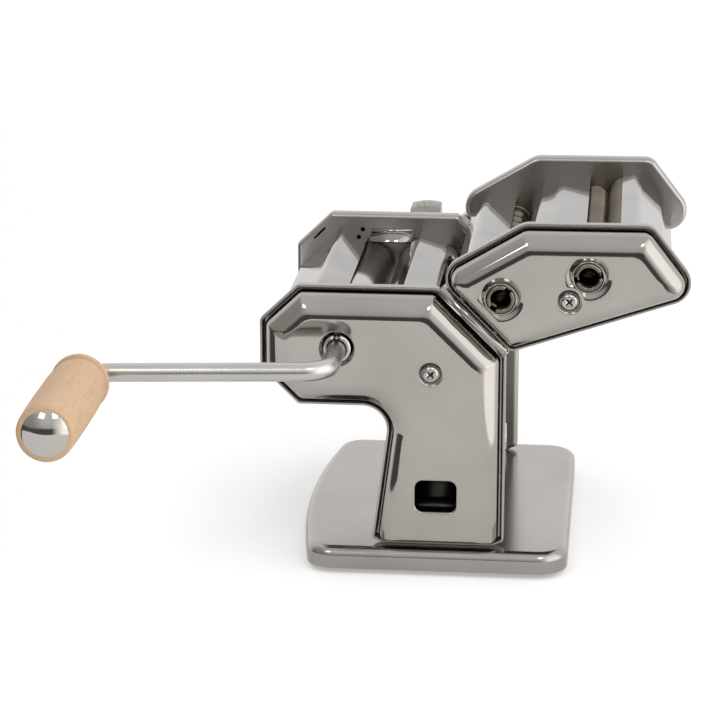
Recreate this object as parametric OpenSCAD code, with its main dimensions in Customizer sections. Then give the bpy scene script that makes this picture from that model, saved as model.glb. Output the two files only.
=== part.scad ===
// Hand-cranked pasta sheet roller with a double noodle cutter on its rear slope.
// Sizes are millimetres. +X is the cutter side, -Y the crank side, +Z up.
// The origin is the centre of the base's footprint on the table.

/* [Frame] */
// clear distance between the two side plates
plate_gap = 155; // [120:1:200]
// sheet thickness of side plates and base
sheet = 1.2; // [0.9:0.1:1.6]
// width of the turned-out rim of a side plate
rim_w = 7; // [6:0.2:9]
// black gap between a rim and the domed cover inside it
cover_gap = 1.6; // [1.2:0.1:3]
// distance from a plate's inner face to the cover's outer face
cover_depth = 18; // [16.5:0.5:24]
// height of the pressed base
base_h = 14; // [13:1:20]
// overall width of the base in X at its right-hand half
base_half_x = 72; // [66:1:80]
// how far the base reaches past the plates in Y
base_over = 17.5; // [15:0.5:30]

/* [Rollers] */
// radius of the two dough rollers
roller_r = 14.7; // [13:0.1:16.5]
// outer radius of the cutter rings
cut_r = 9.6; // [8.6:0.1:10.8]
// ring pitch of the wide cutter
wide_pitch = 13; // [10:0.5:16]
// ring pitch of the fine cutter
fine_pitch = 4; // [4:0.25:6]

/* [Crank] */
// distance from the roller axis to the grip axis
crank_arm_l = 120; // [90:1:140]
// radius of the crank rod
rod_r = 4.75; // [4.2:0.05:5.3]
// length of the wooden grip
grip_l = 88; // [70:1:110]
// largest radius of the wooden grip
grip_r = 14.5; // [12.5:0.5:17]

/* [View] */
// which sub-part to draw

/* [Hidden] */
$fn = 64;

// half the clear distance, the plane of a plate's inner face
half = plate_gap / 2;
// height of everything that stands on the base, measured from the drawn base of 14
lift = base_h - 14;
// inset of a cover's outline from its plate's outline
cover_in = sheet + cover_gap;
// radius of the bend between sheet and rim, which ends just outside the cover
bend_r = cover_in - 0.3;
// sheet of covers and hoods
thin = 0.8;
hood_t = 1;
// rolled shoulder of the body covers and of the cutter covers
dome = 12.6;
cut_dome = 10.6;
// gap of a running fit and of a free passage
run = 0.05;
free = 0.35;

// axes of the dough rollers in X and Z, with the gap between them at the middle setting
drive_ax = [-46, 120.7];
roll_gap = 1.6;
roll_c = 2 * roller_r + roll_gap;
gap_ax = drive_ax + [roll_c, 0];

// travel of the gap roller each way and throw of its eccentric at sixty degrees
travel = 1.2;
throw = travel / sin(60);

// outline of a body side plate, counter-clockwise in X and Z
leg_foot = 14;
plate_pts = [[39, 116], [4, 151], [-67, 151], [-86.5, 132.5], [-86.5, 107.3], [-67, 88],
  [-19.6, 88], [-29.4, leg_foot], [39, leg_foot]];
// the plates' own rim, cut off at the foot's two corners by foot_cut in X and Z
foot_cut = [6.5, 2.7];
leg_d = (plate_pts[6] - plate_pts[7]) / (plate_pts[6][1] - plate_pts[7][1]);
rim_pts = concat([for (i = [0:6]) plate_pts[i]], [plate_pts[7] + foot_cut[1] * leg_d,
  plate_pts[7] + [foot_cut[0], 0], plate_pts[8] - [foot_cut[0], 0], plate_pts[8] + [0, foot_cut[1]]]);
rim_rad = [3.2, 3.2, 3.2, 3.2, 3.2, 3.2, 13, 2, 2, 2, 2];
// corner radii of a body cover; its shoulder is much tighter along the foot
cover_rad = [5, 5, 5, 5, 5, 5, 13 + cover_in, 4, 4];
cover_edge = [1, 1, 1, 1, 1, 1, 1, 0.3, 1];

// where the cutter sits: the middle of the body's rear slope, and the gap above that slope
rail_d = [-1, 1] / sqrt(2);
rail_n = [1, 1] / sqrt(2);
seat = (plate_pts[0] + plate_pts[1]) / 2;
slope_gap = 3.11;
cut_0 = seat + slope_gap * rail_n;
// cutter pairs: how far rings reach into each other, the slant of a pair, the step between pairs
ring_mesh = 1.2;
pair_c = 2 * cut_r - ring_mesh;
pair_a = 17.13;
pair_v = pair_c * [cos(pair_a), sin(pair_a)];
pair_step = [43.6, 12.2];
// axes of the cutter rollers
wide_ax = cut_0 + [12.7, 13.4];
wide_mate_ax = wide_ax + pair_v;
fine_ax = wide_ax + pair_step;
fine_mate_ax = fine_ax + pair_v;

// outline of a cutter side plate, from its seat on the slope round the last pair
cut_pts = [cut_0 + 31.82 * rail_d, cut_0 - 24.75 * rail_d, fine_mate_ax + [40.8, -16],
  fine_mate_ax + [13.8, 18.9], wide_ax + [10.6, 36.1]];
cut_rad = [11, 5, 11, 8, 12];
cut_cover_rad = [8, 5, 8, 7, 9];
// the cutter cover's shoulder is tighter along the slope, beside the first socket
cut_edge = [0.66, 1, 1, 1, 1];

// clamp window, as centre and size in X and Z
win_c = [4.5, 43.6];
win_s = [21, 16.6];
win_r = 4;
// depth of its rolled edge
win_lip = 4;

// axes of the rods that tie the plates together; the first also takes the cover screws
tie_ax = [gap_ax + [roller_r + 1.8, 2.6 - roller_r], [-72, 110], [8, 66]];
cut_tie_ax = [fine_ax + [-9.4, -13.1], wide_ax + [-14.4, 0.9], fine_mate_ax + [15.3, -9.6]];
tie_r = 4;
cut_tie_r = 3;
screw_r = 1.75;

// levels outward from a plate's inner face
bush_out = 4;
cheek_0 = 1.6;
cheek_1 = 5.2;
gear_0 = 6;
gear_1 = 13;
yoke_1 = 11.4;
cut_gear_0 = 3.2;
cut_gear_1 = 8.2;

// bend of the crank rod, the planes of the arm and of the grip in Y, and how far the arm hangs
// below level
crank_bend = 13;
crank_tilt = 1.75;
arm_y = -half - 59.5;
grip_y = arm_y - 15.5;
// sockets for the crank: wall, bore, the bottom of the drive roller's socket, and the direction of
// the notches for the cross pin, as angles in X and Z
socket_bore = rod_r + free;
socket_r = socket_bore + 1.9;
socket_floor = -0.7;
notch_w = 3.4;
notch_d = 6;
drive_notch = 90;
wide_notch = 52;
fine_notch = 12;

// colours of the drawn sub-parts
chrome = [0.82, 0.81, 0.8];
steel = [0.68, 0.68, 0.68];
dark = [0.2, 0.2, 0.2];

// Plane geometry

function unit(v) = v / norm(v);
function left(d) = [-d[1], d[0]];
function cyc(p, i) = p[(i + len(p)) % len(p)];
function din(p, i) = unit(cyc(p, i) - cyc(p, i - 1));
function dout(p, i) = unit(cyc(p, i + 1) - cyc(p, i));
function cross2(a, b) = a[0] * b[1] - a[1] * b[0];
function turn(p, i) = atan2(cross2(din(p, i), dout(p, i)), din(p, i) * dout(p, i));
function t1(p, r, i) = p[i] - din(p, i) * r * tan(abs(turn(p, i)) / 2);
function mid(p, r, i) = t1(p, r, i) + left(din(p, i)) * r * sign(turn(p, i));
function angle_of(v) = atan2(v[1], v[0]);
function polar(r, a) = r * [cos(a), sin(a)];
// segments of a rounded corner, finer for wide arcs
function steps(p, r, i) = max(3, min(16, ceil(abs(turn(p, i)) / 12), ceil(r[i] * 1.5)));
// moves every edge inward by d times its own factor
function inset(p, d, k) = [for (i = [0:len(p) - 1])
  let (a = left(din(p, i)), b = left(dout(p, i)), c = a * b,
    u = d * k[(i + len(p) - 1) % len(p)], v = d * k[i])
  p[i] + (u * (a - c * b) + v * (b - c * a)) / (1 - c * c)];
function ones(p) = [for (q = p) 1];
// a rounded outline as points, moved inward by d
function outline(p, r, d = 0, k = []) =
  let (q = inset(p, d, len(k) > 0 ? k : ones(p)))
  [for (i = [0:len(p) - 1])
    let (f = turn(p, i) > 0 ? max(r[i] - d, 0.3) : r[i] + d, c = mid(q, f, i),
      a = angle_of(t1(q, f, i) - c), n = steps(p, r, i))
    for (j = [0:n]) c + polar(f, a + turn(p, i) * j / n)];
// points of an arc in a profile, seen as inset and height
function arc(c, r, a, b, n) = [for (j = [0:n]) c + polar(r, a + (b - a) * j / n)];

// a flat slab with a rounded outline
module slab(p, r, h) linear_extrude(h) polygon(outline(p, r));

// a closed band through copies of an outline; the profile lists inset and height
module band(p, r, prof, k = []) {
  n = len(outline(p, r));
  m = len(prof);
  polyhedron(
    points = [for (q = prof) for (c = outline(p, r, q[0], k)) [c[0], c[1], q[1]]],
    faces = [for (i = [0:m - 1]) for (j = [0:n - 1])
      let (a = i * n, b = (i + 1) % m * n, e = (j + 1) % n)
      each [[a + j, b + j, b + e], [a + j, b + e, a + e]]]);
}

// a sheet pan: bend of radius s and rim that stands up to w, then its flat floor at zero
module pan_rim(p, r, t, s, w, n = 5) band(p, r, concat(
  arc([s, s], s, 270, 180, n), [[0, w], [t, w]], arc([s, s], s - t, 180, 270, n)));
module pan_floor(p, r, t, s) linear_extrude(t) polygon(outline(p, r, s));

// a domed cover: straight wall from z0 and rolled shoulder of radius s, then its face at h
module dome_rim(p, r, s, z0, h, k = [], n = 8) band(p, r, concat(
  arc([s, h - s], s - thin, 90, 180, n), [[thin, z0], [0, z0]],
  arc([s, h - s], s, 180, 90, n)), k);
module dome_face(p, r, s, h, k = []) translate([0, 0, h - thin]) linear_extrude(thin)
  polygon(outline(p, r, s, k));

// a bent sheet strip along an open path, drawn in X and Y and extruded to l
function side(p, r, h) = concat(
  [p[0] + left(unit(p[1] - p[0])) * h],
  [for (i = [1:1:len(p) - 2])
    let (c = mid(p, r[i], i), a = angle_of(t1(p, r[i], i) - c),
      n = max(2, ceil(abs(turn(p, i)) / 9)))
    for (j = [0:n]) c + polar(r[i] - sign(turn(p, i)) * h, a + turn(p, i) * j / n)],
  [let (e = len(p) - 1) p[e] + left(unit(p[e] - p[e - 1])) * h]);
function back(q) = [for (i = [len(q) - 1:-1:0]) q[i]];
module strip(p, r, t, l) linear_extrude(l)
  polygon(concat(side(p, r, -t / 2), back(side(p, r, t / 2))));

// places X-Z drawings: the crank side outward from its plate, its mirror image, or centred
module crank_side() translate([0, -half, lift]) rotate([90, 0, 0]) children();
module knob_side() mirror([0, 1, 0]) crank_side() children();
module both() {
  crank_side() children();
  knob_side() children();
}
module across(l = plate_gap) translate([0, l / 2, lift]) rotate([90, 0, 0]) children();
module at(c, z = 0) translate([c[0], c[1], z]) children();
// a hole through a plate's sheet
module hole(c, r) at(c, -5) cylinder(r = r, h = 30);
// a round-ended opening, long in X, through a plate's sheet
module xslot(c, r, m) {
  hole(c + [-m, 0], r);
  hole(c + [m, 0], r);
  at(c - [m, r], -5) cube([2 * m, 2 * r, 30]);
}
module ring(ro, ri, h) difference() {
  cylinder(r = ro, h = h);
  translate([0, 0, -1]) cylinder(r = ri, h = h + 2);
}
// a screw with its head above zero and its shank below, with a cross recess
module screw(hr, hh, sr, sl) difference() {
  union() {
    cylinder(r = hr, h = hh * 0.6);
    translate([0, 0, hh * 0.6]) cylinder(r1 = hr, r2 = hr * 0.72, h = hh * 0.4);
    translate([0, 0, -sl]) cylinder(r = sr, h = sl);
  }
  for (a = [45, 135]) rotate(a)
    translate([-hr * 0.55, -0.45, hh * 0.35]) cube([hr * 1.1, 0.9, hh]);
}
// spur gear blank with straight-sided teeth
module gear(n, tip, root, atip, aroot, bore, h) difference() {
  linear_extrude(h) polygon([for (i = [0:n - 1]) for (q = [[root, -aroot], [tip, -atip],
    [tip, atip], [root, aroot]]) q[0] * [cos(i * 360 / n + q[1]), sin(i * 360 / n + q[1])]]);
  translate([0, 0, -1]) cylinder(r = bore, h = h + 2);
}
function rect(c, s) = [c + [-s[0], -s[1]] / 2, c + [s[0], -s[1]] / 2, c + s / 2,
  c + [-s[0], s[1]] / 2];

// Base

base_pts = [[base_half_x, -half - base_over], [base_half_x, half + base_over],
  [-base_half_x + 11, half + base_over], [-base_half_x - 4.5, 0],
  [-base_half_x + 11, -half - base_over]];
base_rad = [16, 16, 14, 480, 14];
// how far the base's edge stays above the table
foot_gap = 3;
module base_plate() color(chrome) translate([0, 0, base_h]) mirror([0, 0, 1]) {
  pan_rim(base_pts, base_rad, sheet, 5, base_h - foot_gap);
  difference() {
    pan_floor(base_pts, base_rad, sheet, 5);
    for (q = screw_at) translate([q[0], q[1], -5]) cylinder(r = 2.1, h = 10);
  }
}
foot_at = [for (x = [-46, base_half_x - 14], y = [-1, 1]) [x, y * (half + base_over - 16)]];
module rubber_feet() color(dark) for (q = foot_at) translate(q) {
  cylinder(r1 = 6.4, r2 = 7.5, h = 3);
  translate([0, 0, 3]) cylinder(r = 7.5, h = base_h - sheet - 3);
}

// Angle brackets hold the plates on the base

brk_x = [-16, 26];
brk_in = half - 9;
screw_at = [for (x = brk_x, s = [-1, 1]) [x, s * brk_in]];
module foot_brackets() color(steel) for (m = [0, 1]) mirror([0, m, 0])
  difference() {
    translate([brk_x[0] - 7, -half, base_h]) rotate([90, 0, 90])
      strip([[16, 0.75], [0.75, 0.75], [0.75, 17]], [0, 2, 0], 1.5, brk_x[1] - brk_x[0] + 14);
    for (x = brk_x) {
      translate([x, -brk_in, base_h - 3]) cylinder(r = 2.1, h = 8);
      translate([x, -half - 3, base_h + 11]) rotate([-90, 0, 0]) cylinder(r = 2.1, h = 8);
    }
  }
module base_screws() color(steel) for (q = screw_at)
  translate([q[0], q[1], base_h + 1.5]) screw(3.5, 2, screw_r, 7);
module bracket_screws() color(steel) for (m = [0, 1], x = brk_x) mirror([0, m, 0])
  translate([x, -half + 1.5, base_h + 11]) rotate([-90, 0, 0]) screw(3.4, 1.8, screw_r, 6);

// Side plates and covers

module plate_cuts() {
  for (q = tie_ax) hole(q, screw_r + 0.25);
  hole(drive_ax, 9.5);
  xslot(gap_ax, 9.2, travel + 0.6);
  xslot(bar_ax, bar_r + 0.5, travel + 0.6);
  for (x = brk_x) hole([x, leg_foot + 11], 2.1);
  // slit beside the front slope and a small hole above the hopper
  at([-73.8, 139.3], -5) rotate(45) translate([-4.4, -0.65, 0]) cube([8.8, 1.3, 10]);
  hole([-49.4, 142], 1.3);
}
module window(g, z0, h) at([0, 0], z0)
  slab(rect(win_c, win_s + [2 * g, 2 * g]), [for (i = [0:3]) win_r + g], h);
module plate_rim() pan_rim(rim_pts, rim_rad, sheet, bend_r, rim_w);
module plate_floor() pan_floor(rim_pts, rim_rad, sheet, bend_r);
module crank_side_plate() color(chrome) crank_side() {
  plate_rim();
  difference() {
    plate_floor();
    plate_cuts();
  }
}
module knob_side_plate() color(chrome) knob_side() {
  plate_rim();
  difference() {
    plate_floor();
    plate_cuts();
  }
}
// bent strap behind the clamp window, on which a clamp's hook rests
strap_t = 1.5;
strap_z = win_c[1] - win_s[1] / 2 + 2;
module clamp_strap() color(dark) translate([win_c[0] - win_s[0] / 2 - 2, -half - sheet, lift])
  rotate([90, 0, 90]) strip([[sheet + win_lip + 0.6 - cover_depth, strap_z], [-strap_t / 2, strap_z],
    [-strap_t / 2, strap_z + win_s[1] + 2]], [0, 3, 0], strap_t, win_s[0] + 4);
// the dish round a cover screw
dish = 2;
module dished(z) rotate_extrude() polygon([[screw_r + 0.25, z - dish], [4.8, z - dish],
  [6.2, z - thin], [6.2, z], [5.9, z], [4.6, z - dish + thin], [screw_r + 0.25, z - dish + thin]]);
// rim and plain face of a body cover
cover_pts = inset(plate_pts, cover_in, ones(plate_pts));
module cover_rim() dome_rim(cover_pts, cover_rad, dome, sheet, cover_depth, cover_edge);
module cover_face() dome_face(cover_pts, cover_rad, dome, cover_depth, cover_edge);
module crank_side_cover() color(chrome) crank_side() {
  cover_rim();
  difference() {
    union() {
      cover_face();
      // edge of the clamp window, rolled inward
      window(thin, cover_depth - win_lip, win_lip - thin / 2);
    }
    hole(drive_ax, socket_r + 1.75);
    at(tie_ax[0], cover_depth - 3) cylinder(r = 6.1, h = 10);
    window(0, cover_depth - 8, 20);
  }
  at(tie_ax[0]) dished(cover_depth);
}
module knob_side_cover() color(chrome) knob_side() {
  cover_rim();
  difference() {
    cover_face();
    hole(gap_ax, 8);
    at(tie_ax[0], cover_depth - 3) cylinder(r = 6.1, h = 10);
  }
  at(tie_ax[0]) dished(cover_depth);
}
module cover_screws() color(steel) both() at(tie_ax[0], cover_depth - dish + thin)
  screw(4.2, 2.2, screw_r, cover_depth - dish + thin + 8);

// Hoods, guides and scrapers between the plates

// they run inside the plates' outline, and their lips end just above the rollers
hood_in = 2.5;
lip = 1.7;
module front_hood() color(chrome) across() strip([plate_pts[5] + [-3, 7.2],
  plate_pts[4] + [hood_in, 1.9], plate_pts[3] + [hood_in, -12.5], plate_pts[2] + [7, -7],
  drive_ax + [-0.4, roller_r + lip]], [0, 3, 3, 3.5, 0], hood_t, plate_gap);
module rear_hood() color(chrome) across() strip([gap_ax + [-5.6, roller_r + lip + 0.5],
  gap_ax + [-0.6, roller_r + 7], plate_pts[1] - [3, 11.2], plate_pts[0] - [11, 3.2],
  plate_pts[0] - [11, 18]], [0, 1.4, 12, 6, 0], hood_t, plate_gap);
module tie_rods() color(steel) for (q = tie_ax) across() difference() {
  at(q) cylinder(r = tie_r, h = plate_gap);
  for (z = [-1, plate_gap - 12]) at(q, z) cylinder(r = screw_r + 0.05, h = 13);
}
module tie_screws() color(steel) both() for (q = [tie_ax[1], tie_ax[2]])
  at(q, sheet) screw(3.6, 2.2, screw_r, sheet + 8);
module drive_bushes() color([0.85, 0.83, 0.74]) both() at(drive_ax) difference() {
  union() {
    translate([0, 0, -1]) cylinder(r = 11.5, h = 1);
    cylinder(r = 9.5, h = bush_out);
  }
  translate([0, 0, -2]) cylinder(r = 8 + run, h = 20);
}
guide_x = [drive_ax[0] + 1.4, gap_ax[0] - 6.6];
guide_z = drive_ax[1] + roller_r + 1.6;
module dough_guides() color(chrome) for (m = [0, 1]) mirror([0, m, 0])
  translate([guide_x[0], 0, lift]) rotate([90, 0, 90])
    strip([[-half + 0.5, guide_z + 5.6], [-half + 0.5, guide_z + 3.4], [-half + 9.5, guide_z]],
      [0, 1, 0], hood_t, guide_x[1] - guide_x[0]);
module front_scraper() color(steel) across()
  strip([drive_ax + polar(roller_r + 12, 221.5), drive_ax + polar(roller_r + 12.1, 233.4),
    drive_ax + polar(roller_r + 1.9, 238.1)], [0, 1.5, 0], hood_t, plate_gap);
module rear_scraper() color(steel) across()
  strip([gap_ax + polar(roller_r + 2, -63), gap_ax + polar(roller_r + 12.4, -48.5),
    gap_ax + polar(roller_r + 15.1, -36.4)], [0, 1.5, 0], hood_t, plate_gap);

// Sliding carriage of the gap roller, with its guides

bar_ax = gap_ax + [13, -26.3];
bar_r = 3.6;
cheek_pts = [for (q = [[-13, 13], [-13, -13.7], [3, -31.1], [19.4, -31.1], [19.4, -19.1],
  [12, -17.3], [12, 13]]) gap_ax + q];
module cheek() linear_extrude(cheek_1 - cheek_0) polygon(cheek_pts);
module guide_bars() at([0, 0], sheet) {
  at(gap_ax + [-15, 13.3]) cube([28, 3, cheek_1 + 0.4 - sheet]);
  at(gap_ax + [6, -34.4]) cube([12, 3, cheek_1 + 0.4 - sheet]);
}
module carriage_guides() color(steel) both() guide_bars();
module roller_carriage() color(steel) {
  crank_side() at([0, 0], cheek_0) difference() {
    cheek();
    hole(gap_ax, 8.4);
  }
  knob_side() difference() {
    union() {
      at([0, 0], cheek_0) cheek();
      translate([gap_ax[0] - 12, gap_ax[1] - 13, cheek_1]) cube([24, 26, yoke_1 - cheek_1]);
    }
    at(gap_ax, -1) cylinder(r = 8.4, h = cheek_1 + 1);
    translate([gap_ax[0] - ecc_r - free, gap_ax[1] - ecc_r - throw - 0.5, cheek_1])
      cube([2 * (ecc_r + free), 2 * (ecc_r + throw + 0.5), 20]);
  }
  l = plate_gap + 2 * cheek_0;
  across(l) at(bar_ax) cylinder(r = bar_r, h = l);
}
module carriage_bushes() color([0.85, 0.83, 0.74]) both() at(gap_ax, cheek_0)
  ring(8.4, 7 + run, cheek_1 - cheek_0);

// Dough rollers and their gears

roller_l = plate_gap - 3.4;
// the pair of notches at a socket's mouth
module notch(a) translate([0, 0, -notch_d]) rotate(a)
  translate([-10, -notch_w / 2, 0]) cube([20, notch_w, 20]);
module drive_roller() color(steel) {
  across(roller_l) at(drive_ax) cylinder(r = roller_r, h = roller_l);
  knob_side() at(drive_ax, -1.7) cylinder(r = 8, h = bush_out + 2.2);
  crank_side() at(drive_ax, -1.7) difference() {
    union() {
      cylinder(r = 8, h = gear_1 + 1.7);
      cylinder(r = socket_r, h = cover_depth + 2.2);
    }
    translate([0, 0, socket_floor + 1.7]) cylinder(r = socket_bore, h = 60);
    translate([0, 0, cover_depth + 2.2]) notch(drive_notch + crank_tilt);
  }
}
module main_gear(bore) gear(12, roll_c / 2 + 0.9, roll_c / 2 - 3.6, 3.8, 8.2, bore, gear_1 - gear_0);
module drive_gear() color(steel) crank_side() at(drive_ax, gear_0) main_gear(8);
module gap_roller() color(steel) {
  across(roller_l) at(gap_ax) cylinder(r = roller_r, h = roller_l);
  knob_side() at(gap_ax, -1.7) cylinder(r = 7, h = cheek_1 + 1.3);
  crank_side() at(gap_ax, -1.7) cylinder(r = 7, h = gear_1 + 1.7);
}
module gap_gear() color(steel) crank_side() at(gap_ax, gear_0) rotate(15)
  main_gear(7);

// Thickness knob, eccentric and dial on the far side

ecc_r = 8;
knob_0 = cover_depth + 4.2;
knob_1 = cover_depth + 22;
module knob_bush() color([0.85, 0.83, 0.74]) knob_side() at(gap_ax) difference() {
  union() {
    translate([0, 0, yoke_1 + 0.8]) cylinder(r = 8, h = cover_depth - yoke_1 - 0.8);
    translate([0, 0, yoke_1 + 0.8]) cylinder(r = 10, h = cover_depth - thin - yoke_1 - 0.8);
  }
  cylinder(r = 5 + run, h = 60);
}
module dial_plate() color(steel) knob_side() at(gap_ax, cover_depth) difference() {
  cylinder(r = 15.6, h = 1.2);
  translate([0, 0, -1]) cylinder(r = 6.5, h = 5);
  for (k = [-3:3]) rotate(90 + k * 20) translate([12.4, 0, -1]) cylinder(r = 1.4, h = 5);
}
module eccentric_shaft() color(steel) knob_side() at(gap_ax) {
  translate([0, throw, cheek_1 + 0.8]) cylinder(r = ecc_r, h = yoke_1 - cheek_1 - 0.8);
  difference() {
    translate([0, 0, yoke_1 - 1]) cylinder(r = 5, h = knob_1 - 6 - yoke_1 + 1);
    translate([0, 0, knob_1 - 18]) cylinder(r = screw_r + 0.05, h = 40);
  }
}
// reach of the knob's lever
knob_reach = 29.8;
module thickness_knob() color([0.72, 0.75, 0.7]) knob_side() at(gap_ax, knob_0) difference() {
  union() {
    cylinder(r = 15, h = knob_1 - knob_0);
    intersection() {
      cylinder(r = knob_reach, h = knob_1 - knob_0);
      translate([-9.4, 0, 0]) cube([16.8, 40, knob_1 - knob_0]);
    }
    translate([0, 0, -2.6]) cylinder(r = 17.5, h = 3.6);
  }
  translate([0, 0, -5]) cylinder(r = 5, h = knob_1 - knob_0 - 1);
  translate([0, 0, -5]) cylinder(r = screw_r + 0.25, h = 60);
  translate([0, 0, knob_1 - knob_0 - 3]) cylinder(r = 5, h = 10);
  // grooves of the knurled end, and the moulding line round it
  for (x = [-8:1.6:6.4])
    translate([x - 0.25, knob_reach - 0.8, -1]) cube([0.5, 5, knob_1 - knob_0 - 6]);
  translate([-12, knob_reach - 0.4, knob_1 - knob_0 - 7]) cube([24, 5, 0.8]);
}
module knob_screw() color(steel) knob_side() at(gap_ax, knob_1 - 3)
  screw(3.8, 2.2, screw_r, 13);

// Crank

// turns the crank's pieces, drawn level at the height zero, about the roller axis
module crank_turn() translate([drive_ax[0], 0, drive_ax[1] + lift]) rotate([0, -crank_tilt, 0])
  translate([-drive_ax[0], 0, 0]) children();
crank_x = drive_ax[0] - crank_arm_l;
crank_tip = -half - socket_floor - free;
grip_end = grip_y - grip_l;
module rod_between(a, b) {
  d = b - a;
  translate(a) rotate([0, 0, atan2(d[1], d[0])]) rotate([0, 90, 0])
    cylinder(r = rod_r, h = norm(d));
}
module crank_arm() color(chrome) crank_turn() {
  c1 = drive_ax[0];
  c2 = crank_x;
  difference() {
    rod_between([c1, crank_tip, 0], [c1, arm_y + crank_bend, 0]);
    translate([c1, -half - pin_v, 0]) rotate([0, 90 - drive_notch, 0]) translate([0, 0, -10])
      cylinder(r = pin_r + run, h = 20);
  }
  translate([c1 - crank_bend, arm_y + crank_bend, 0]) rotate([0, 0, -90])
    rotate_extrude(angle = 90) translate([crank_bend, 0]) circle(r = rod_r);
  rod_between([c1 - crank_bend, arm_y, 0], [c2 + crank_bend, arm_y, 0]);
  translate([c2 + crank_bend, arm_y - crank_bend, 0]) rotate([0, 0, 90])
    rotate_extrude(angle = 90) translate([crank_bend, 0]) circle(r = rod_r);
  difference() {
    rod_between([c2, arm_y - crank_bend, 0], [c2, grip_end + 9, 0]);
    translate([c2, grip_y - 1.4, 0]) rotate([90, 0, 0]) ring(8, rod_r - 0.6, 1.2);
  }
}
// cross pin that sits in the notches of a socket
pin_r = 1.5;
pin_v = cover_depth + 0.5 - notch_d + pin_r + 0.1;
pin_l = 2 * socket_r - 0.2;
module crank_pin() color(steel) crank_turn() translate([drive_ax[0], -half - pin_v, 0])
  rotate([0, 90 - drive_notch, 0]) translate([0, 0, -pin_l / 2]) cylinder(r = pin_r, h = pin_l);
bore_r = rod_r + free;
// a near-cylinder with a turned groove at its inner end, both ends rounded
end_r = 2;
module wooden_grip() color([0.86, 0.7, 0.53]) crank_turn() translate([crank_x, grip_y, 0])
  rotate([90, 0, 0]) rotate_extrude() difference() {
    polygon(concat([[bore_r, 0]], arc([grip_r - 0.7 - end_r, end_r], end_r, 270, 360, 4),
      [[grip_r - 0.6, 4.2], [grip_r - 1.8, 5], [grip_r - 1.8, 5.8], [grip_r - 0.4, 6.8],
        [grip_r, 16], [grip_r, grip_l * 0.55], [grip_r - 0.4, grip_l * 0.8]],
      arc([grip_r - 0.6 - end_r, grip_l - 0.6 - end_r], end_r, 0, 90, 4), [[bore_r, grip_l - 0.6]]));
    translate([0, grip_l - 9.5]) square([8, 20]);
  }
cap_r = grip_r - 3.3;
module grip_cap() color(chrome) crank_turn() translate([crank_x, grip_end, 0])
  rotate([90, 0, 0]) rotate_extrude() {
    difference() {
      intersection() {
        translate([0, 3.4 - cap_s]) circle(r = cap_s);
        translate([0, -0.6]) square([cap_r, 10]);
      }
      translate([0, -0.7]) square([cap_r - 6, 1]);
    }
    translate([6.6, -7]) square([1.2, 6.5]);
  }
cap_s = (cap_r * cap_r + 16) / 8;

// Cutter

module cut_holes() {
  for (q = [wide_ax, wide_mate_ax, fine_ax, fine_mate_ax]) hole(q, 6.5);
  for (q = cut_tie_ax) hole(q, screw_r + 0.25);
  // slit beside the middle hood
  at(wide_mate_ax + [5, 18.1], -5) rotate(15) translate([-4.6, -0.6, 0]) cube([9.2, 1.2, 10]);
}
module rivet_holes() for (k = [-1, 1]) at(cut_0 + k * 12 * rail_d, rim_mid) rotate(45)
  translate([-5, 0, 0]) rotate([0, 90, 0]) cylinder(r = 1.6, h = 20);
module cutter_plate() {
  difference() {
    pan_rim(cut_pts, cut_rad, sheet, bend_r, rim_w);
    rivet_holes();
  }
  difference() {
    pan_floor(cut_pts, cut_rad, sheet, bend_r);
    cut_holes();
  }
}
module cutter_crank_plate() color(chrome) crank_side() cutter_plate();
module cutter_far_plate() color(chrome) knob_side() cutter_plate();
cut_far_depth = 14;
cut_cover_pts = inset(cut_pts, cover_in, ones(cut_pts));
module cutter_cover() color(chrome) crank_side() {
  dome_rim(cut_cover_pts, cut_cover_rad, cut_dome, sheet, cover_depth, cut_edge);
  difference() {
    union() {
      dome_face(cut_cover_pts, cut_cover_rad, cut_dome, cover_depth, cut_edge);
      for (q = [wide_ax, fine_ax]) at(q, cover_depth - thin / 2)
        cylinder(r = socket_r + 1.2, h = thin / 2 + 1.6);
    }
    at(cut_tie_ax[0], cover_depth - 3) cylinder(r = 6.1, h = 10);
    for (q = [wide_ax, fine_ax]) hole(q, socket_r + 0.4);
  }
  at(cut_tie_ax[0]) dished(cover_depth);
}
module cutter_far_cover() color(chrome) knob_side() {
  dome_rim(cut_cover_pts, cut_cover_rad, cut_dome, sheet, cut_far_depth, cut_edge);
  difference() {
    dome_face(cut_cover_pts, cut_cover_rad, cut_dome, cut_far_depth, cut_edge);
    at(cut_tie_ax[0], cut_far_depth - 3) cylinder(r = 6.1, h = 10);
  }
  at(cut_tie_ax[0]) dished(cut_far_depth);
}
module cutter_cover_screws() color(steel) {
  crank_side() at(cut_tie_ax[0], cover_depth - dish + thin)
    screw(4.2, 2.2, screw_r, cover_depth - dish + thin + 8);
  knob_side() at(cut_tie_ax[0], cut_far_depth - dish + thin)
    screw(4.2, 2.2, screw_r, cut_far_depth - dish + thin + 8);
}
module cutter_left_hood() color(chrome) across() strip([cut_0 + [9.3, -7.3], cut_0 + [-13.1, 15.1],
  wide_ax + [-17.4, 13.5], wide_ax + [0, cut_r + 1.9]], [0, 4, 7, 0], hood_t, plate_gap);
module cutter_mid_hood() color(chrome) across() strip([wide_mate_ax + [-7.1, cut_r + 1],
  wide_mate_ax + [-2.6, cut_r + 8], fine_ax + [-18, 14.3], fine_ax + [-2.6, cut_r + 2.9]],
  [0, 6, 12, 0], hood_t, plate_gap);
module cutter_right_hood() color(chrome) across() strip([fine_mate_ax + [-2, cut_r + 1.8],
  fine_mate_ax + [5.8, cut_r + 3.2], fine_mate_ax + [19.8, -2.2], fine_mate_ax + [24.4, -15]],
  [0, 6, 12, 0], hood_t, plate_gap);
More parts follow.
